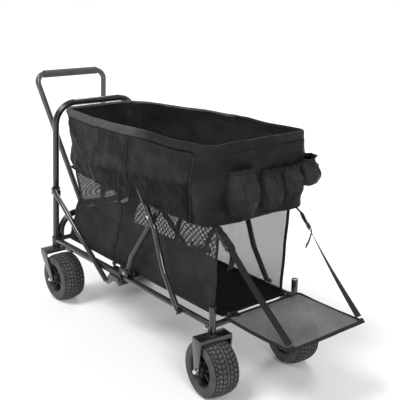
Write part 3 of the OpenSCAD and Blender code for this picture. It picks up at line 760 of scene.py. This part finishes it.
def make_basket():
    # A folded hem under the skirt, then the wall.
    hem_share, hem_turn, hem_height = 0.12, 0.0032, 0.020
    def skirt_or_hem(k, v):
        if v < hem_share:
            q = skirt_point(k, 0)
            t = 1 - v / hem_share
            turn = hem_turn * min(1, t * 3)
            return Vector((q.x - OUTER_N[k].x * turn, q.y - OUTER_N[k].y * turn, q.z + hem_height * t))
        return skirt_point(k, (v - hem_share) / (1 - hem_share))
    o = lofted_round(39, skirt_or_hem).object("basket_skirt", ["basket_fabric"])
    finish_piece(folds(o), None, "basket_fabric", "basket", "basket_skirts")

    o = lofted_round(16, rim_point).object("basket_rim", ["rim_fabric"])
    finish_piece(folds(o), None, "basket_fabric")

    liner = lofted_round(16, liner_point).object("basket_liner", ["basket_fabric"])
    finish_piece(folds(liner), None, "basket_fabric")

    # Stiff folding floor in four padded leaves.
    floor = Shape()
    def floor_point(u, v):
        x = BASKET_START + 0.014 + (BASKET_END - BASKET_START - 0.026) * u
        y = (2 * v - 1) * (inner_half(x) - 0.001)
        joint = min(abs(u - c) for c in (0.25, 0.5, 0.75))
        rise = 0.0022 * min(1, joint / 0.012) ** 0.5 * min(1, (1 - abs(2 * v - 1)) / 0.05) ** 0.5
        return Vector((x + XF, y, 0.5555 + rise + 0.0006 * fbm(x * 9, y * 9, 1)))
    floor.grid(121, 41, floor_point)
    o = floor.object("basket_floor", ["basket_fabric"])
    solid = o.modifiers.new("board", "SOLIDIFY")
    solid.thickness, solid.offset = 0.0035, -1
    finish_piece(folds(o), None, "basket_fabric")

    # Two rows of stitches along the hem seam and each upright seam, and one along the lower edge.
    stitches = Shape()
    def stitch(a, b, n):
        d = b - a
        if d.length < 1e-5:
            return
        side = d.normalized().cross(n).normalized() * 0.00035
        lift = n * 0.0007
        c = [a + side + lift * 0.3, a - side + lift * 0.3, b - side + lift * 0.3, b + side + lift * 0.3]
        mid = (a + b) / 2
        stitches.add(c + [mid + side * 0.6 + lift, mid - side * 0.6 + lift],
                     [(0, 4, 5, 1), (4, 3, 2, 5), (0, 3, 4), (1, 5, 2)])
    def run(points, normals, step=0.0042, fill=0.72):
        line = resample(points, max(2, int(sum((b - a).length for a, b in zip(points, points[1:])) / step)))
        for i in range(len(line) - 1):
            a, b = line[i], line[i].lerp(line[i + 1], fill)
            j = min(len(normals) - 1, int(i / len(line) * len(normals)))
            stitch(a, b, normals[j])
    hem = [k for k in range(-N_ROUND // 2, N_ROUND // 2) if OUTER[k].x < SEAM_END]
    for v in (0.993, 0.967):
        run([shift(skirt_point(k, v)) + OUTER_N[k] * 0.0012 for k in hem], [OUTER_N[k] for k in hem])
    whole = [k % N_ROUND for k in range(N_ROUND + 1)]
    run([shift(skirt_point(k, 0.035)) + OUTER_N[k] * 0.0004 for k in whole], [OUTER_N[k] for k in whole])
    felled = Shape()
    for s in (-1, 1):
        for foot, top in ((0.915, 0.941), (0.582, 0.582)):
            def upright(d, out):
                return [on_skirt(foot + (top - foot) * j / 39 + d, s, 0.02 + 0.95 * j / 39, out)
                        for j in range(40)]
            for d in (0.0035, 0.0085):
                run(upright(d, 0.0021), [Vector((0, s, 0))])
            felled.sweep(upright(0.006, 0.0006), flat_section(0.009, 0.0026), side=(1, 0, 0))
    o = stitches.object("basket_stitches", ["thread"])
    finish_piece(folds(o), None, "webbing")

    # Flat-felled hem seam, as a narrow raised band between its stitch rows.
    felled.sweep([shift(skirt_point(k, 0.98)) + OUTER_N[k] * 0.0002 for k in hem],
                 flat_section(0.0075, 0.0016), side=(0, 0, 1))
    finish_piece(folds(felled.object("basket_felled_seam", ["basket_fabric"])), None, "basket_fabric")


# Bottle pockets: gathered pouches on the tailgate end

# Each pocket's middle and half width, measured along the end wall from its middle, then the heights of
# its foot and mouth.
POCKETS = [(-0.088, 0.055, 0.592, 0.727), (0.031, 0.044, 0.594, 0.710),
           (0.115, 0.044, 0.606, 0.710), (0.203, 0.047, 0.642, 0.719)]


def end_place(s):
    """Point and outward direction on the basket's end outline, s along it from the middle."""
    straight = half_width(BASKET_END) - CORNER
    turn = min(math.pi / 2, max(0.0, abs(s) - straight) / CORNER)
    past = max(0.0, abs(s) - straight - CORNER * math.pi / 2)
    n = Vector((math.cos(turn), math.copysign(math.sin(turn), s), 0))
    core = Vector((BASKET_END + 0.001 - CORNER - past, math.copysign(min(abs(s), straight), s), 0))
    return core + n * CORNER, n


# How full a pocket is from foot to mouth: in at the foot, fullest low down, drawn in near the top, a frill.
FULLNESS = [(0, 0.55), (0.08, 0.82), (0.34, 1.0), (0.60, 0.90), (0.85, 0.64), (0.91, 0.60), (1, 0.72)]
DEEPEST_POCKET = 0.064


def make_pockets():
    for i, (middle, r, foot, mouth) in enumerate(POCKETS, 1):
        s = Shape()
        frills = 8 if r > 0.05 else 6
        def point(u, v, inside=0.0):
            a = math.pi * u
            full = table(FULLNESS, v)
            tight = max(0.0, (v - 0.60) / 0.40)
            swell = math.sin(a) ** 0.62
            depth = min(r * 1.25, DEEPEST_POCKET) * full * swell
            wander = 3 * noise.noise(Vector((a * 2, i * 3.7, v)))
            depth += 0.0024 * tight * math.sin(a * 2 * frills + wander) * swell
            depth += (0.0085 * fbm(a * 1.6 + i * 5, v * 2.1, i * 2.3, 3)
                      + 0.0050 * crease(a * 2.1 + i, v * 1.6, i)
                      + 0.0022 * crease(a * 4.3, v * 4.6, i * 3)) * swell
            along = middle - math.cos(a) * (r * (0.62 + 0.38 * full) - inside * 0.6)
            base, n = end_place(along)
            q = base + n * max(0.0, depth - inside)
            lift = 0.004 * tight * math.sin(a) + 0.0012 * tight * math.sin(a * frills * 1.3 + i)
            sag = 0.012 * math.sin(a) * (1 - v) ** 1.5
            return Vector((q.x + XF, q.y, foot + (mouth - foot) * v + lift - sag))
        s.grid(64, 34, lambda u, v: point(u, v), flip=True)
        s.grid(64, 8, lambda u, v: point(u, 1 - v * 0.55, 0.0028))
        # Turned lip
        s.grid(64, 3, lambda u, v: point(u, 1, 0.0028 * v) + Vector((0, 0, 0.0012 * math.sin(math.pi * v))))
        # Foot
        def under(u, v):
            base = end_place(middle - math.cos(math.pi * u) * r * 0.8 * v)[0]
            return Vector((base.x + XF, base.y, foot - 0.001)).lerp(point(u, 0), v)
        s.grid(64, 8, under)
        # Elastic binding round the mouth
        band = [point(k / 48, 0.915) + end_place(middle)[1] * 0.0006 for k in range(1, 48)]
        s.sweep(band, flat_section(0.006, 0.0014), side=(0, 0, 1), kind=1)
        o = s.object(f"pocket_{i}", ["pocket_fabric_painted_light", "webbing"])
        weld = o.modifiers.new("weld", "WELD")
        weld.merge_threshold = 0.00003
        folds(o)
        finish_piece(o, None, "basket_fabric")
        if i == 1:
            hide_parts("bottle_pockets")


# Lower bag: mesh walls, solid floor, webbing

DECK_HALF = 0.1505


def bag_front(z):
    return table([(0.253, 0.066), (0.30, 0.085), (0.38, 0.122), (0.46, 0.160), (0.552, 0.134)], z)


def bag_rear(z):
    return table([(0.253, 0.966), (0.40, 0.974), (0.552, 0.984)], z)


def side_wall(s, u, v, out=0.0):
    z = 0.2545 + (0.553 - 0.2545) * v
    x0, x1 = bag_front(z), bag_rear(z)
    x = x0 + (x1 - x0) * u
    bulge = 0.003 * math.sin(math.pi * v) * math.sin(math.pi * u)
    wave = 0.0030 * fbm(x * 5 + s, z * 6, s * 3, 3) * math.sin(math.pi * min(1, v + 0.08))
    wave -= 0.004 * math.exp(-((x - 0.415) / 0.05) ** 2) * math.sin(math.pi * v)
    return Vector((x + XF, s * (DECK_HALF - 0.002 + bulge + wave + out), z))


def end_wall(t, v, out=0.0):
    y = (2 * t - 1) * (DECK_HALF - 0.003)
    z = 0.2545 + (0.553 - 0.2545) * v
    x = bag_front(z) + 0.012 * math.sin(math.pi * t) * math.sin(math.pi * v) + 0.003 * fbm(y * 7, z * 7, 2)
    return Vector((x + XF - out, y, z))


def make_lower_bag():
    band = flat_section(0.024, 0.0016)
    narrow = flat_section(0.013, 0.0018)
    for name, s in SIDES.items():
        net = Shape().grid(90, 34, lambda u, v: side_wall(s, u, v))
        o = net.object(f"side_net_{name}", ["side_net"])
        finish_piece(folds(o), None, "deck_mesh")
        trim = Shape()
        rear = [side_wall(s, 1, k / 24, 0.001) for k in range(25)]
        front = [side_wall(s, 0, k / 24, 0.001) for k in range(25)]
        foot = [side_wall(s, k / 60, 0.012, 0.001) for k in range(61)]
        trim.sweep(rear, narrow, side=(1, 0, 0))
        trim.sweep(front, narrow, side=(1, 0, 0))
        trim.sweep(foot, narrow, side=(0, 0, 1))
        upright = [side_wall(s, (0.415 - bag_front(0.4)) / (bag_rear(0.4) - bag_front(0.4)), k / 24, 0.0016)
                   for k in range(25)]
        trim.sweep(upright, band, side=(1, 0, 0))
        finish_piece(folds(trim.object(f"side_binding_{name}", ["webbing"])), None, "webbing")

    end = Shape().grid(40, 30, end_wall)
    o = end.object("end_net", ["end_net"])
    finish_piece(folds(o), None, "deck_mesh")
    lower = Shape()
    def skirt(t, v):
        top = 0.47 - 0.07 * math.sin(math.pi * t)
        return end_wall(t, top * v, 0.0015)
    lower.grid(40, 12, skirt)
    o = lower.object("end_panel", ["deck_fabric"])
    finish_piece(folds(o), None, "basket_fabric")
    cross = Shape()
    cross.sweep([end_wall(k / 30, 0.56 - 0.03 * math.sin(math.pi * k / 30), 0.002) for k in range(31)],
                flat_section(0.026, 0.0016), side=(0, 0, 1))
    finish_piece(folds(cross.object("end_webbing", ["webbing"])), None, "webbing")

    floor = Shape()
    def floor_point(u, v):
        x = 0.068 + (0.968 - 0.068) * u
        y = (2 * v - 1) * (DECK_HALF - 0.002)
        sag = -0.0016 * math.sin(math.pi * v) * (0.4 + 0.6 * abs(math.sin(math.pi * u * 3)))
        joint = min(abs(u - c) for c in (0.333, 0.667))
        return Vector((x + XF, y, 0.2562 + sag - 0.0012 * math.exp(-(joint / 0.006) ** 2)
                       + 0.0008 * fbm(x * 8, y * 8, 3)))
    floor.grid(100, 30, floor_point)
    o = floor.object("deck_floor", ["deck_fabric"])
    solid = o.modifiers.new("board", "SOLIDIFY")
    solid.thickness, solid.offset = 0.003, -1
    finish_piece(folds(o), None, "deck_mesh", "lower_bag")

    flap = Shape()
    flap.grid(8, 30, lambda u, v: Vector((XF + 0.962 + 0.043 * u, (2 * v - 1) * 0.146,
                                          0.2575 + 0.003 * u + 0.0008 * fbm(u * 2, v * 8, 1))))
    o = flap.object("deck_flap", ["deck_fabric"])
    solid = o.modifiers.new("cloth", "SOLIDIFY")
    solid.thickness = 0.0015
    finish_piece(o, "sliding_end", "deck_mesh")


# Tailgate

def make_tailgate():
    lo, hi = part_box("tailgate_border")
    x0, x1 = XF + 1.037, hi.x
    half, zc, corner = hi.y, (lo.z + hi.z) / 2, 0.016
    def loop(inset):
        pts = []
        for cx, cy, a0 in ((x1, -half, -90), (x1, half, 0), (x0, half, 90), (x0, -half, 180)):
            c = Vector((cx - math.copysign(corner, cx - (x0 + x1) / 2), cy - math.copysign(corner, cy), zc))
            for a in range(a0, a0 + 91, 15):
                turn = math.radians(a)
                pts.append(c + Vector((math.cos(turn), math.sin(turn), 0)) * (corner - inset))
        line = resample(pts + [pts[0]], 161)[:-1]
        out = []
        for p in line:
            sag = -0.0035 * math.sin(math.pi * (p.x - x0) / (x1 - x0)) if abs(p.y) > half - 0.02 else 0
            out.append(p + Vector((0, 0, sag + 0.0008 * fbm(p.x * 12, p.y * 12, 1))))
        return out
    edge = Shape()
    edge.sweep(loop(0.0055), [(0.0056 * math.cos(a), 0.0034 * math.sin(a)) for a in
                              (k * math.pi / 5 for k in range(10))], side=None, closed=True)
    for s in (-1, 1):
        y = s * 0.12
        strip = [Vector((x0 + 0.016, y, zc - 0.0045)), Vector((x0 - 0.004, y, zc - 0.0065))]
        around = [Vector((x0 - 0.010 - 0.0062 * math.sin(a), y, zc - 0.0062 * math.cos(a))) for a in
                  (k * math.pi / 8 for k in range(9))]
        back = [Vector((x0 + 0.016, y, zc + 0.0042))]
        edge.sweep(strip + around + back, flat_section(0.018, 0.0016), side=(0, 1, 0))
    o = edge.object("tailgate_binding", ["webbing"])
    finish_piece(o, "tailgate", "webbing", "tailgate_border")
    net = Shape()
    def point(u, v):
        x, y = x0 + 0.006 + (x1 - x0 - 0.012) * u, (2 * v - 1) * (half - 0.006)
        sag = -0.0030 * math.sin(math.pi * u) * (0.5 + 0.5 * math.sin(math.pi * v))
        return Vector((x, y, zc + sag + 0.0010 * fbm(x * 9, y * 9, 5)))
    net.grid(50, 50, point)
    o = net.object("tailgate_net", ["gate_net"])
    finish_piece(o, "tailgate", "deck_mesh", "tailgate_mesh")


# Straps and side-release buckles

def make_straps():
    for name, s in SIDES.items():
        top = Vector((XF + 1.018, s * 0.1705, 0.545))
        foot = Vector((XF + 1.307, s * 0.149, 0.2775))
        way = foot - top
        t = way.normalized()
        at = top + way * 0.005
        across = Vector((0, 1, 0))
        across = (across - across.dot(t) * t).normalized()
        up = t.cross(across)
        if up.z < 0:
            up = -up
        if name == "l":  # this one has turned on its way down
            across = Matrix.Rotation(math.radians(-50), 3, t) @ across
            up = Matrix.Rotation(math.radians(-50), 3, t) @ up
        end = at + t * 0.062
        strap = Shape()
        upper = [top + Vector((-0.016, -s * 0.004, 0.012)), top,
                 top.lerp(at, 0.5) + up * 0.0006, at + t * 0.006]
        strap.sweep(smooth_path(upper, 14), flat_section(0.025, 0.0019), side=across)
        sag = 0.0035
        run = [end - t * 0.010 + (foot - end) * k / 30 - up * sag * math.sin(math.pi * k / 30)
               for k in range(31)]
        strap.sweep(run, flat_section(0.025, 0.0019), side=lambda k: across.lerp(Vector((0, 1, 0)), k))
        strap.sweep([foot - t * 0.004 + Vector((0, 0, -0.001)), foot + Vector((0.004, 0, -0.0035)),
                     foot + Vector((0.009, 0, -0.0095))], flat_section(0.025, 0.0030), side=(0, 1, 0))
        o = strap.object(f"strap_web_{name}", ["webbing"])
        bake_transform(o)
        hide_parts(f"strap_{name}")

        tail = Shape()
        fall = [end - t * 0.020 + up * 0.0035,
                end - t * 0.004 + up * 0.0055,
                end + Vector((0.002, 0, -0.014)) + up * 0.006,
                end + Vector((-0.001, -s * 0.002, -0.040)) + up * 0.004,
                end + Vector((-0.006, -s * 0.003, -0.062))]
        tail.sweep(smooth_path(fall, 22), flat_section(0.0245, 0.0018), side=across)
        tail.sweep([fall[-1] + Vector((0.0006, 0, 0.008)), fall[-1] + Vector((0, 0, -0.001))],
                   flat_section(0.026, 0.0036), side=across)
        finish_piece(tail.object(f"strap_tail_{name}", ["webbing"]), "sliding_end", "webbing")

        m = Matrix((t, across, up)).transposed().to_4x4()
        m.translation = at
        buckle = Shape()
        def shell(u, v):
            """Female half: an oval sleeve, waisted where the prongs show."""
            a = 2 * math.pi * v
            w = table([(0, 0.0135), (0.25, 0.0165), (0.6, 0.0165), (1, 0.0178)], u)
            h = table([(0, 0.0032), (0.3, 0.0055), (0.8, 0.0058), (1, 0.0048)], u)
            c, d = math.cos(a), math.sin(a)
            y, z = w * math.copysign(abs(c) ** 0.6, c), h * math.copysign(abs(d) ** 0.7, d)
            return Vector((0.001 + 0.030 * u, y, z))
        buckle.grid(12, 28, shell, place=m)
        for side in (-1, 1):
            prong = [Vector((x, side * y, 0)) for x, y in
                     ((0.029, 0.0115), (0.033, 0.0150), (0.037, 0.0160), (0.042, 0.0140), (0.047, 0.0110))]
            buckle.sweep(smooth_path(prong, 10), flat_section(0.0080, 0.0052), side=(0, 0, 1), place=m)
        for x0, x1, y, z0, z1 in ((0.028, 0.046, 0.0035, -0.0022, 0.0022),
                                  (0.028, 0.0435, 0.012, -0.001, 0.001),
                                  (0.0425, 0.0465, 0.0165, -0.004, 0.0042),
                                  (0.0515, 0.054, 0.014, 0.0005, 0.0046),
                                  (0.058, 0.061, 0.0165, -0.0038, 0.003)):
            buckle.box((x0, -y, z0), (x1, y, z1), place=m)
        for side in (-1, 1):
            y = side * 0.0152
            buckle.box((0.044, y - 0.0016, -0.0040), (0.060, y + 0.0016, 0.0040), place=m)
        for u in (0.009, 0.013, 0.017):
            buckle.box((u, -0.0085, 0.0050), (u + 0.0016, 0.0085, 0.0066), place=m)
        o = buckle.object(f"buckle_body_{name}", ["black_plastic"])
        bevel(o, 0.0007, 2, 40)
        finish_piece(o, "sliding_end", "black_plastic", f"buckle_{name}")


# Wheels

def wheel_place(e, s):
    c = centre(f"tyre_{e}_{s}")
    turn = math.radians(-6 if e == "rear" else 0)
    z_axis = Vector((math.sin(turn), -math.cos(turn), 0))
    x_axis = Vector((math.cos(turn), math.sin(turn), 0))
    y_axis = z_axis.cross(x_axis)
    m = Matrix((x_axis, y_axis, z_axis)).transposed().to_4x4()
    m.translation = c
    return m


TREAD_DEPTH = 0.0023
CROWN_START = 0.0860  # the tread's blocks stand on what lies outside this radius


def tyre_profile():
    half = [(0.0572, 0.0440), (0.0590, 0.0475), (0.0625, 0.0492), (0.0650, 0.0497), (0.0665, 0.0490),
            (0.0690, 0.0488), (0.0740, 0.0492), (0.0790, 0.0486), (0.0835, 0.0468), (0.0872, 0.0440)]
    crown = [(0.0926 - 0.0058 * (abs(z) / 0.0405) ** 3.2, z) for z in np.linspace(0.0405, -0.0405, 64)]
    inner = [(0.0560, -0.0430), (0.0545, -0.020), (0.0545, 0.020), (0.0560, 0.0430)]
    return half + crown + [(r, -z) for r, z in half[::-1]] + inner


def tread(a, z):
    """Height of the tread over the carcass at angle a and width position z."""
    w = abs(z)
    rib = TREAD_DEPTH if w < 0.0040 else 0.0
    def block(count, low, high, lean, duty):
        if not low < w < high:
            return 0.0
        ph = (a / (2 * math.pi) * count + lean * (w - low) / 0.02 + (0.5 if z > 0 else 0)) % 1
        return TREAD_DEPTH if ph < duty else 0.0
    return (rib + block(36, 0.0070, 0.0190, 0.45, 0.74) + block(36, 0.0215, 0.0330, -0.35, 0.70)
            + block(40, 0.0350, 0.0420, 0.1, 0.66))


BARREL = [(0.0545, -0.0440), (0.0572, -0.0446), (0.0572, -0.0425), (0.0558, -0.041), (0.0548, -0.020),
          (0.0548, 0.020), (0.0558, 0.041), (0.0572, 0.0425), (0.0572, 0.0446), (0.0545, 0.0440),
          (0.0520, 0.0400), (0.0505, 0.0200), (0.0500, 0.004), (0.0500, -0.004), (0.0505, -0.0200),
          (0.0520, -0.0400)]
HUB_SIDE = [(0.0056, 0.051), (0.0125, 0.051), (0.0150, 0.0490), (0.0158, 0.040), (0.0180, 0.020)]
HUB = [(r, -z) for r, z in HUB_SIDE] + HUB_SIDE[::-1]
SPOKE = [(r, side * w, end * h) for end in (-1, 1)
         for r, side, w, h in ((0.0155, -1, 0.0045, 0.034), (0.0505, -1, 0.0032, 0.030),
                               (0.0505, 1, 0.0032, 0.030), (0.0155, 1, 0.0045, 0.034))]
SPOKE_FACES = [(0, 3, 2, 1), (4, 5, 6, 7), (0, 1, 5, 4), (1, 2, 6, 5), (2, 3, 7, 6), (3, 0, 4, 7)]


def make_wheels():
    profile = tyre_profile()
    n, m = 288, len(profile)
    points, faces = [], []
    for i in range(n):
        a = 2 * math.pi * i / n
        for r, z in profile:
            if r > CROWN_START:
                r += tread(a, z)
            points.append((r * math.cos(a), r * math.sin(a), z))
    faces = [(i * m + j, (i + 1) % n * m + j, (i + 1) % n * m + (j + 1) % m, i * m + (j + 1) % m)
             for i in range(n) for j in range(m)]
    def kind(i, j):
        (r, z), a = profile[j], 2 * math.pi * (i + 0.5) / n
        if r < CROWN_START:
            return 2
        # Crown faces between the tread blocks take the groove rubber, painted with shade.
        return 0 if tread(a, z) > 0 else 1
    kinds = [kind(i, j) for i in range(n) for j in range(m)]
    for e in ("front", "rear"):
        for s in SIDES:
            place = wheel_place(e, s)
            tyre = Shape().add(points, faces, 0, place)
            tyre.kinds = kinds
            o = tyre.object(f"tread_tyre_{e}_{s}", ["tyre_rubber", "tyre_groove_painted_shade", "tyre_wall"])
            finish_piece(o, f"wheel_{e}_{s}", "tyre_rubber", f"tyre_{e}_{s}")
            rim = Shape()
            rim.revolve(BARREL, 72, place=place)
            rim.revolve(HUB, 40, place=place)
            for k in range(6):
                spin = place @ Matrix.Rotation(math.pi / 3 * k + 0.2, 4, "Z")
                rim.add(SPOKE, SPOKE_FACES, 0, spin)
            o = rim.object(f"spoked_rim_{e}_{s}", ["wheel_plastic"])
            bevel(o, 0.0009, 2, 38)
            finish_piece(o, f"wheel_{e}_{s}", "wheel_plastic", f"rim_{e}_{s}")


# Clamp knobs with finger ribs

def make_knobs():
    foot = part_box("clamp_knobs")[1].z - 0.022
    knobs = Shape()
    for s in (-1, 1):
        for x in (0.441, 0.491):
            place = Matrix.Translation((XF + x, s * 0.18, foot))
            stem = [(0.0, 0), (0.0045, 0), (0.0045, 0.0125), (0.0, 0.0125)]
            knobs.revolve(stem, 24, place=place, closed=False)
            def lobed(u, v):
                a = 2 * math.pi * u
                r, z = [(0.0, 0.0120), (0.0060, 0.0120), (0.0078, 0.0132), (0.0080, 0.0160), (0.0080, 0.0190),
                        (0.0072, 0.0212), (0.0050, 0.0220), (0.0, 0.0218)][round(v * 7)]
                r *= 1 - 0.09 * (0.5 + 0.5 * math.cos(a * 12)) * (1 if 0.0125 < z < 0.0214 else 0)
                return Vector((r * math.cos(a), r * math.sin(a), z))
            knobs.grid(72, 8, lobed, closed_u=True, place=place)
    o = knobs.object("knurled_knobs", ["black_plastic"])
    finish_piece(o, "frame", "black_plastic", "clamp_knobs")


dress_cad()
make_basket()
make_pockets()
make_lower_bag()
make_tailgate()
make_straps()
make_wheels()
make_knobs()
